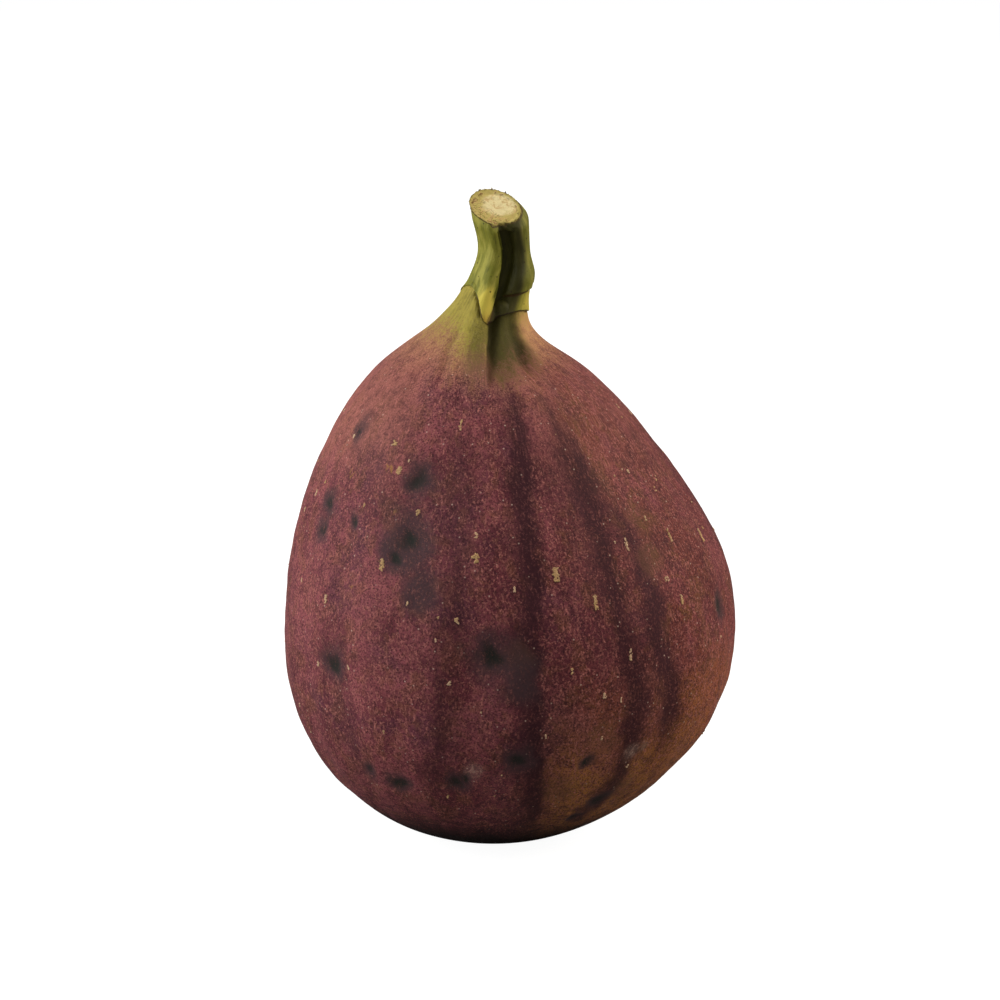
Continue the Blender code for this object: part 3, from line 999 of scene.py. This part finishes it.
def stem_places(spots):
    """Angle, height, distance; height over the bracts' edge and the ledge; way from the furrow."""
    angle, height, distance = round_core(spots)
    ledge_angles, ledge_heights = zip(*LEDGE)
    over_ledge = height - np.interp(turn(angle), ledge_angles, ledge_heights)
    wall_heights, wall_angles = zip(*FURROW_WALL)
    furrow_way = np.radians(turn(angle - np.interp(height, wall_heights, wall_angles))) * distance
    return angle, height, distance, height - bract_edge(angle), over_ledge, furrow_way


print("the furrow's wall runs from", FURROW_WALL[0][0], "to", FURROW_WALL[-1][0], "mm up")

# %% Press the furrow, swell the bracts and groove the stalk
FURROW_DEPTH = 0.55
FURROW_EDGE = (-0.15, 0.05)
FURROW_WIDTH = (0.5, 2.6)
FURROW_FOOT = (59.5, 61)
FURROW_TOP = (1.02, 1.5)
FACE_EDGE = (1.0, 1.10)
LEFT_BRACT_SWELL = 0.22
LEDGE_SWELL = 0.30
GROOVES = (13, 19, 24, 31)
GROOVE_LEAN = 0.25
GROOVE_DEPTH = 0.055

angle, height, distance, over_edge, over_ledge, furrow_way = stem_places(points(stalk))
cut_share = read_back(stalk, "cut_share")
in_furrow = ease(*FURROW_EDGE, furrow_way) * (1 - ease(*FURROW_WIDTH, furrow_way))
in_furrow = in_furrow * ease(*FURROW_FOOT, height)
press(stalk, in_furrow * ease(*FURROW_TOP, cut_share), FURROW_DEPTH)
press(stalk, line_weight(angle, height, distance, LEFT_BRACT, 0.9, 0.9, 1.2), -LEFT_BRACT_SWELL)
on_ledge = ease(-76, -64, turn(angle)) * (1 - ease(2, 24, turn(angle)))
swell = ease(0, 0.22, over_ledge) * (1 - ease(0.9, 3.4, over_ledge)) * on_ledge
press(stalk, swell, -LEDGE_SWELL)
around_stalk = np.radians(angle)
groove = sum(np.sin(n * around_stalk + GROOVE_LEAN * height + n * n) for n in GROOVES) / len(GROOVES)
on_face = 1 - ease(*FACE_EDGE, cut_share)
press(stalk, groove * ease(0.3, 1.0, over_edge) * (1 - on_face), GROOVE_DEPTH)
print("stem: furrow, ledge and", len(GROOVES), "sets of grooves pressed")

# %% Keep the bracts outside the neck
LIP_OVER_SKIN = 0.10
NEAR_LIP = 1.6
FACING_OUT = 0.2

angle, height, distance, over_edge, *_ = stem_places(points(stalk))
normals = np.array([vertex.normal for vertex in stalk.data.vertices])
outward = normals[:, 0] * np.cos(np.radians(angle)) + normals[:, 1] * np.sin(np.radians(angle))
near_skin = ((over_edge < NEAR_LIP) & (outward > FACING_OUT)).astype(float)
apply(stalk, "SHRINKWRAP", near_skin, target=skin, wrap_mode="OUTSIDE", offset=LIP_OVER_SKIN * MM)
print("stem:", int(near_skin.sum()), "points of the bracts kept outside the neck")

# %% Roughen the cut
CUT_EDGE = (0.99, 1.05)
CUT_LUMPS = {"depth": 0.16, "lumps": 0.45, "middle": 0.5}
RIM_TEAR = {"depth": 0.15, "lumps": 0.38, "middle": 0.5}
CUT_HOLLOW = 0.09

cut_share = read_back(stalk, "cut_share")
press(stalk, 1 - ease(*CUT_EDGE, cut_share), **CUT_LUMPS)
press(stalk, bump_at(cut_share - 1.0, 0.06), **RIM_TEAR)
press(stalk, bump_at(cut_share - 0.80, 0.07), CUT_HOLLOW)
print("cut: face and rim roughened")

# %% Note the stem's places for its material
FLOW_TURN = 3
FURROW_SHADE = (1.9, 3.8)
FULL_SEAM = 0.75

angle, height, distance, over_edge, over_ledge, furrow_way = stem_places(points(stalk))
way_up = np.radians(angle)
shade = ease(-0.12, 0.05, furrow_way) * (1 - ease(*FURROW_SHADE, furrow_way))
left_tip = line_weight(angle, height, distance, LEFT_BRACT, 1.0, 1.0, 0.6)
tip_side = line_weight(angle, height, distance, TIP_EDGE, 0.5, 0.35, 0.6)
right_side = ease(-60, -40, turn(angle)) * (1 - ease(20, 60, turn(angle)))
in_front = ease(-122, -112, turn(angle)) * (1 - ease(8, 30, turn(angle)))
note(
    stalk,
    flow=np.stack([FLOW_TURN * np.cos(way_up), FLOW_TURN * np.sin(way_up), height], axis=1),
    cut_place=cut_place(points(stalk)),
    ledge=bump_at(over_ledge, 0.22) * on_ledge,
    under_ledge=ease(0.1, -0.3, over_ledge) * on_ledge * ease(-44, -28, turn(angle)),
    # the furrow's bottom is painted nearly black, as painted shade
    furrow=shade * ease(57.6, 59.0, height),
    # the right lobe is painted a little darker, as painted shade
    right_lobe=right_side * ease(0, 1, over_ledge),
    tip_edge=tip_side * (1 - ease(0.8, 2.2, over_edge)),
    seam=(1 - ease(0.06, 0.24, over_edge)) * (1 - FULL_SEAM + FULL_SEAM * in_front),
    tip_warmth=left_tip * (1 - ease(58.2, 60.6, height)),
    left_bract=left_tip * (1 - ease(61.0, 64.0, height)),
)
stalk.data.shade_smooth()
print("stem places noted on", len(angle), "points")

# %% [markdown]
# ## The stem: colour
#
# Stalk and bracts are yellow-green with streaks along them, and small dark dots. The furrow is
# painted nearly black at its bottom, and the right lobe a little darker: both are painted shade.
# Every edge that has dried is brown: the bracts' tips and seams, the ledge, and the thin rim of the
# cut. The cut face is cream where the pith is, and greener outside.

# %% Paints for the stem
STALK_GREEN = paint_of(130, 130, 44)
STALK_PALE = paint_of(168, 162, 72)
STALK_DEEP = paint_of(76, 78, 22)
FURROW_PAINTED_SHADE = paint_of(38, 36, 12)
BRACT_YELLOW = paint_of(224, 206, 86)
TIP_ORANGE = paint_of(176, 122, 50)
DRY_BROWN = paint_of(74, 54, 24)
SEAM_DARK = paint_of(48, 32, 16)
PITH_CREAM = paint_of(236, 221, 166)
CUT_GREEN = paint_of(198, 180, 104)
CUT_TAN = paint_of(206, 172, 112)
CUT_BROWN = paint_of(112, 76, 36)
RIM_YELLOW = paint_of(188, 172, 92)
print("stem paints are mixed")

# %% The stalk's layers
def lay_stalk(f, n):
    """Streaked green stalk, yellow bracts, painted shade in the furrow and on the right lobe, and dried
    edges.
    """
    patch = f.noise(f.place, 2.2)
    n.streak = f.noise(f.read("flow", out="Vector"), 0.55, 3.0, 0.6, scale=(1, 1, 0.22))
    n.grain = f.noise(f.place, 0.16, 2.0, 0.6)
    off_streak, off_grain = n.streak - 0.5, n.grain - 0.5
    f.colour = f.mix(STALK_GREEN, STALK_PALE, f.step(n.streak + (patch - 0.5) * 0.5, 0.42, 0.72))
    f.lay(STALK_DEEP, f.step(n.streak, 0.46, 0.26) * 0.7)
    f.lay(STALK_DEEP, f.step(n.grain, 0.42, 0.25) * 0.35)
    # painted shade: the right lobe is painted a little darker
    f.lay(STALK_DEEP, f.read("right_lobe") * 0.35)
    f.lay(BRACT_YELLOW, f.step(f.read("left_bract") + off_streak * 0.9, 0.15, 0.8) * 0.95)
    f.lay(TIP_ORANGE, f.read("tip_warmth") * (0.75 + off_streak * 0.8))
    f.lay(BRACT_YELLOW, f.read("under_ledge") * (0.45 + off_streak * 1.2))
    # painted shade: the furrow's bottom is painted nearly black
    f.lay(FURROW_PAINTED_SHADE, f.step(f.read("furrow") + off_streak * 0.25, 0.05, 0.9) * 0.88)
    f.lay(SEAM_DARK, f.specks(0.75, 0.14, 0.5) * 0.75)
    f.lay(DRY_BROWN, f.step(f.read("ledge") + off_grain * 0.5, 0.35, 0.9) * 0.9)
    f.lay(DRY_BROWN, f.step(f.read("tip_edge") + off_grain * 0.5, 0.35, 0.9) * 0.7)
    f.lay(SEAM_DARK, f.step(f.read("seam") + off_grain * 0.3, 0.2, 0.8) * 0.85)


print("the stalk's layers are ready")

# %% The cut's layers
PITH_MIDDLE = (0.4, 0.65, 0)


def lay_cut(f):
    """Cream pith in the middle, greener outside, with cracks and a thin brown rim."""
    spot = f.read("cut_place", out="Vector")
    share = f.read("cut_share")
    rays = f.noise(spot, 0.30, 3.0, 0.65, scale=(1, 1, 0)) - 0.5
    torn = f.noise(spot, 0.9, 3.0, 0.6, scale=(1, 1, 0)) - 0.5
    right, up = f.axis(spot, "X"), f.axis(spot, "Y")
    off = f.node("VectorMath", {"operation": "SUBTRACT"}, {0: spot, 1: PITH_MIDDLE})
    off = f.stretched(off, (1, 1.1, 0))
    pith = f.node("VectorMath", {"operation": "LENGTH"}, {0: off}, out="Value")
    face = f.mix(CUT_GREEN, PITH_CREAM, f.step(pith + torn * 1.6, 2.2, 1.4))
    face = f.mix(face, CUT_TAN, f.step(torn + rays * 0.6, 0.0, -0.14) * 0.8)
    cracks = abs(f.noise(spot, 0.75, 2.0, 0.6, 0.8, scale=(1, 1.6, 0)) - 0.5)
    cracks = f.step(cracks, 0.030, 0.006) * f.step(pith, 0.9, 1.7) * f.step(right + up, 1.0, -0.6)
    face = f.mix(face, CUT_BROWN, cracks * 0.75)
    ring = f.step(abs(share + torn * 0.22 - 0.86), 0.035, 0.01) * f.step(torn, 0.02, -0.10)
    face = f.mix(face, CUT_BROWN, ring * 0.8)
    ragged = f.step(share + torn * 0.5, 0.92, 1.02) * f.step(right - up, -0.5, 1.0)
    face = f.mix(face, SEAM_DARK, ragged * 0.8)
    face = f.mix(face, RIM_YELLOW, f.step(share + torn * 0.08, 0.90, 0.95) * 0.8)
    face = f.mix(face, SEAM_DARK, f.step(share + rays * 0.16, 0.955, 1.01) * 0.85)
    f.lay(face, f.step(share, 1.06, 1.02))


print("the cut's layers are ready")

# %% Put the stem's layers together
def stem_finish():
    """Stalk and bracts, with dried edges, and the cut's pith."""
    f, n = Finish("fig_stem"), SimpleNamespace()
    lay_stalk(f, n)
    lay_cut(f)
    return f.wear(0.50 + n.streak * 0.2, n.streak * 0.5 + n.grain * 0.5, depth=0.06, shine=0.2)


stalk.data.materials.append(stem_finish())
print("stem painted with", len(stalk.active_material.node_tree.nodes), "nodes")

# %% [markdown]
# ## Pale grains
#
# The pale marks on a fig are pores: small raised heaps of corky grains, drawn out along the skin's
# run. Painted on, they would lie flat. So one grain is shaped from a small ball, pressed flat and
# made uneven, and its copies are heaped on the skin, each turned to the skin's own direction.

# %% Say where the pores are
PORES = [
    # angle, height in mm, length and width in mm of the larger ones in front
    (-97, 37.4, 0.9, 0.5), (-76, 35.6, 1.5, 0.6), (-67, 32.5, 1.5, 0.5), (-52, 37.5, 1.4, 0.3),
    (-34, 37.2, 1.4, 0.3), (-39, 31.0, 1.2, 0.4), (-59, 26.6, 1.3, 0.3), (-100, 49.8, 1.3, 0.2),
    (-124, 35.9, 1.3, 0.5), (-103, 31.2, 0.6, 0.4), (-18, 35.8, 1.5, 0.5), (-114, 41.4, 0.6, 0.3),
    (-126, 47.7, 0.5, 0.4), (-145, 23.5, 0.6, 0.4), (-160, 40.6, 0.6, 0.3), (-122, 45.2, 0.8, 0.6),
    (-75, 25.7, 0.6, 0.2), (-105, 24.5, 0.5, 0.3), (-88, 34.3, 0.5, 0.2), (-142, 31.0, 0.9, 0.4),
]
SMALL_PORES = 110
BACK_PORES = 12

chance = random.Random(SEED)
pores = list(PORES)
for k in range(SMALL_PORES):
    length = chance.uniform(0.15, 0.6)
    at, up = chance.uniform(-180, 180), chance.uniform(10, 50)
    pores.append((at, up, length, length * chance.uniform(0.3, 0.6)))
for k in range(BACK_PORES):
    length = chance.uniform(0.7, 1.4)
    pores.append((chance.uniform(5, 170), chance.uniform(22, 48), length, length * 0.35))
print(len(PORES), "pores in front and", len(pores) - len(PORES), "at random")

# %% Shape one grain and heap its copies
GRAIN_SIZE = 0.115
GRAIN_SHAPE = (0.8, 1.15, 0.55)
GRAIN_UNEVEN = 0.022
GRAIN_STEP = 0.12
GRAIN_RISE = 0.01


def on_skin(angle, height):
    """The skin's point at this angle and height, and its axes: round the fig, up it, and out."""
    middle = (np.interp(height, levels, core_x), np.interp(height, levels, core_y), height)
    way = math.radians(angle)
    out = Vector((math.cos(way), math.sin(way), 0))
    _, spot, normal, _ = skin.ray_cast(Vector(middle) * MM, out)
    side = Vector((0, 0, 1)).cross(normal).normalized()
    axes = Matrix((side, normal.cross(side), normal)).transposed().to_4x4()
    return Matrix.Translation(spot) @ axes


bpy.ops.mesh.primitive_ico_sphere_add(subdivisions=2, radius=GRAIN_SIZE * MM)
grain = bpy.context.active_object
edit(
    grain,
    (bpy.ops.transform.resize, {"value": GRAIN_SHAPE}),
    (bpy.ops.transform.vertex_random, {"offset": GRAIN_UNEVEN * MM, "seed": SEED}),
)
grain.data.shade_smooth()

grains = []
for pore_angle, pore_height, length, width in pores:
    basis = on_skin(pore_angle, pore_height)
    for _ in range(max(1, round(length * width / GRAIN_STEP**2))):
        up, across = chance.uniform(-0.5, 0.5) * length, chance.gauss(0, 0.24) * width
        size = chance.uniform(0.55, 1.1)
        placing = basis @ Matrix.Translation(Vector((across, up, GRAIN_RISE)) * MM)
        placing = placing @ Matrix.Rotation(chance.uniform(0, 3), 4, "Z") @ Matrix.Scale(size, 4)
        grains.append(copy_of(grain, "grain", placing))
bpy.data.objects.remove(grain)
pore_grains = joined(grains, "pore_grains")
print(len(grains), "grains,", len(pore_grains.data.polygons), "faces")

# %% Grain material
CORK_CREAM = paint_of(220, 186, 152)
CORK_YELLOW = paint_of(204, 168, 118)
CORK_BROWN = paint_of(140, 96, 64)


def grain_finish():
    """Dry cork: cream to yellow from heap to heap, darker in its hollows."""
    f = Finish("pore_cork")
    fine = f.noise(f.place, 0.12)
    f.colour = f.mix(CORK_CREAM, CORK_YELLOW, f.step(f.noise(f.place, 4.0, 1.0), 0.42, 0.60))
    f.lay(CORK_BROWN, f.step(fine, 0.50, 0.32) * 0.6)
    return f.wear(0.75 + fine * 0.1, fine, depth=0.03, shine=0.25)


pore_grains.data.materials.append(grain_finish())
print("grains painted")

# %% [markdown]
# ## Torn fibres
#
# Where the stem was cut, the rim isn't clean: short stiff fibres stand up from it and bits of the
# rind curl over. A rough texture on the rim can't give them an outline. So one splinter is made
# from a cone, pressed flat and bent at its tip, and its copies stand along the rim.

# %% Shape one splinter and set its copies on the rim
SPLINTERS = 46
SPLINTER_LENGTH = 0.42
SPLINTER_WIDTH = 0.11
TIP_SHARE = 0.15
SPLINTER_UNEVEN = 0.016
SPLINTER_BEND = 0.6
ROOT_DEPTH = 0.06

bpy.ops.mesh.primitive_cone_add(
    vertices=8,
    radius1=SPLINTER_WIDTH * MM,
    radius2=TIP_SHARE * SPLINTER_WIDTH * MM,
    depth=SPLINTER_LENGTH * MM,
)
splinter = bpy.context.active_object
edit(
    splinter,
    (bpy.ops.transform.translate, {"value": (0, 0, 0.35 * SPLINTER_LENGTH * MM)}),
    (bpy.ops.transform.resize, {"value": (1.0, 0.4, 1.0)}),
    (bpy.ops.mesh.subdivide, {"number_cuts": 2}),
)
bend_middle = (0, 0, 0.4 * SPLINTER_LENGTH * MM)
bend = {"value": SPLINTER_BEND, "orient_axis": "X", "center_override": bend_middle}
outer_half = points(splinter)[:, 2] > 0.5 * SPLINTER_LENGTH
edit(splinter, (bpy.ops.transform.rotate, bend), chosen=outer_half)
edit(splinter, (bpy.ops.transform.vertex_random, {"offset": SPLINTER_UNEVEN * MM, "seed": SEED}))
splinter.data.shade_smooth()

chance = random.Random(SEED)
rim_points = points(stalk)[np.abs(read_back(stalk, "cut_share") - 1.0) < 0.03]
splinters = []
for k in range(SPLINTERS):
    root = Vector(rim_points[chance.randrange(len(rim_points))]) * MM
    out = (root - Vector(cut_middle) * MM).normalized()
    lean = Vector(cut_normal).lerp(out, chance.uniform(-0.5, 0.75)).normalized()
    placing = Matrix.Translation(root - lean * ROOT_DEPTH * MM)
    placing = placing @ lean.to_track_quat("Z", "Y").to_matrix().to_4x4()
    placing = placing @ Matrix.Rotation(chance.uniform(-1.0, 1.0), 4, "Z")
    splinters.append(copy_of(splinter, "splinter", placing @ Matrix.Scale(chance.uniform(0.35, 1.0), 4)))
bpy.data.objects.remove(splinter)
cut_fibres = joined(splinters, "cut_fibres")
print(SPLINTERS, "splinters on the cut's rim")

# %% Splinter material
def splinter_finish():
    """Dry plant fibre, from straw to brown."""
    f = Finish("dry_fibre")
    fine = f.noise(f.place, 0.10)
    f.colour = f.mix(RIM_YELLOW, CUT_BROWN, f.step(f.noise(f.place, 0.8), 0.42, 0.58))
    f.lay(SEAM_DARK, f.step(fine, 0.48, 0.30) * 0.7)
    return f.wear(0.7 + fine * 0.15, fine, depth=0.02, shine=0.2)


cut_fibres.data.materials.append(splinter_finish())
print("splinters painted")

# %% [markdown]
# ## The eye's scales
#
# Under the fig sits its eye, a small opening closed by rings of pointed scales that lean in over
# each other. The solid model has them too, only plainer. Each ring's scales are copies of one leaf
# that is shaped from a plane: its far end is drawn to a point, its back is arched and it is given
# its thickness. They keep the solid's rings, so that they fill the same pit.

# %% Shape one scale
SCALE_HALF_WIDTH = 0.60
SCALE_THICKNESS = 0.13
SCALE_BEVEL = 0.03
SCALE_ARCH = 0.16
SCALE_LIFT = 0.10
NARROWEST = 0.02

bpy.ops.mesh.primitive_grid_add(x_subdivisions=10, y_subdivisions=8, size=1)
scale = bpy.context.active_object
reach, side = points(scale)[:, :2].T * MM
for way in np.unique(side.round(4)):
    arch = (0, 0, SCALE_ARCH * (1 - (2 * way) ** 2))
    row = np.isclose(side, way, atol=1e-3)
    edit(scale, (bpy.ops.transform.translate, {"value": arch}), chosen=row)
for out in np.unique(reach.round(4)):
    far = out + 0.5
    half_width = SCALE_HALF_WIDTH * (1 - far**1.8) * (0.9 + 0.5 * far)
    taper = (1, max(2 * half_width, NARROWEST), 1 - 0.6 * far)
    edit(
        scale,
        (bpy.ops.transform.resize, {"value": taper, "center_override": (0, 0, 0)}),
        (bpy.ops.transform.translate, {"value": (0.5, 0, SCALE_LIFT * far**2)}),
        chosen=np.isclose(reach, out, atol=1e-3),
    )
note(scale, scale_edge=np.maximum(2 * np.abs(side), ease(0.1, 1.0, reach + 0.5)))
apply(scale, "SOLIDIFY", thickness=SCALE_THICKNESS, offset=0)
apply(scale, "BEVEL", width=SCALE_BEVEL, segments=2)
scale.data.shade_smooth()
print("one scale of", len(scale.data.polygons), "faces")

# %% Lay the scales in rings on their bed
SCALE_RINGS = [
    # how many, where they root and how long they are in mm, and how far they lean up in degrees
    (5, 2.30, 1.60, 13),
    (5, 1.70, 1.30, 24),
    (3, 1.10, 0.90, 38),
]
SCALE_LOW = 1.0
ROOT_RISE = 0.12
UNEVEN_TURN = 0.12
BED_RADIUS = 2.6
BED_RISE = 0.75
BED_FLATNESS = 0.22
BED_EDGE = 0.9

pit = points(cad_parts["eye_scales"])
pit_x, pit_y, _ = (pit.min(axis=0) + pit.max(axis=0)) / 2
eye_middle = Vector((pit_x, pit_y, 0)) * MM
chance = random.Random(SEED)
scales = []
for ring, (count, root, length, lean) in enumerate(SCALE_RINGS):
    for i in range(count):
        way = math.tau * (i + 0.5 * ring) / count + chance.uniform(-UNEVEN_TURN, UNEVEN_TURN)
        placing = Matrix.Translation(eye_middle) @ Matrix.Rotation(way, 4, "Z")
        placing = placing @ Matrix.Translation(Vector((root, 0, SCALE_LOW + ROOT_RISE)) * MM)
        placing = placing @ Matrix.Rotation(math.pi, 4, "Z") @ Matrix.Rotation(math.radians(lean), 4, "Y")
        placing = placing @ Matrix.Rotation(math.pi, 4, "X") @ Matrix.Scale(length * MM, 4)
        scales.append(copy_of(scale, "scale", placing))
        note(scales[-1], scale_tone=np.full(len(scale.data.vertices), chance.random()))
bpy.data.objects.remove(scale)
bpy.ops.mesh.primitive_uv_sphere_add(segments=40, ring_count=16, radius=BED_RADIUS * MM)
bed = bpy.context.active_object
bed.location = eye_middle + Vector((0, 0, SCALE_LOW + BED_RISE)) * MM
bed.scale = (1, 1, BED_FLATNESS)
bed.data.shade_smooth()
note(bed, scale_edge=np.full(len(bed.data.vertices), BED_EDGE))
eye_rosette = joined(scales + [bed], "eye_scale_rosette")
print(len(scales), "scales on their bed")

# %% Scale material
SCALE_RED = paint_of(112, 48, 38)
SCALE_TAN = paint_of(164, 96, 62)
SCALE_DARK = paint_of(52, 24, 20)


def scale_finish():
    """Papery scales: red-brown, each in its own tone, dried dark along their edges."""
    f = Finish("eye_scale")
    tone = f.noise(f.place, 1.1, 3.0, 0.6)
    fine = f.noise(f.place, 0.14, 3.0, 0.65)
    own = f.read("scale_tone") + (tone - 0.5) * 0.8
    f.colour = f.mix(SCALE_RED, SCALE_TAN, f.step(own + (fine - 0.5) * 0.3, 0.1, 0.9))
    f.lay(SCALE_DARK, f.step(f.read("scale_edge") + (fine - 0.5) * 0.5, 0.62, 1.0) * 0.85)
    f.lay(SCALE_DARK, f.step(fine, 0.42, 0.28) * 0.5)
    return f.wear(0.6 + tone * 0.2, fine, depth=0.04, shine=0.3)


eye_rosette.data.materials.append(scale_finish())
print("scales painted")

# %% Finish
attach(skin, BODY)
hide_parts("fruit")
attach(stalk, BODY)
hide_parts("stem")
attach(pore_grains, BODY)
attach(cut_fibres, BODY)
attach(eye_rosette, BODY)
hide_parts("eye_scales")
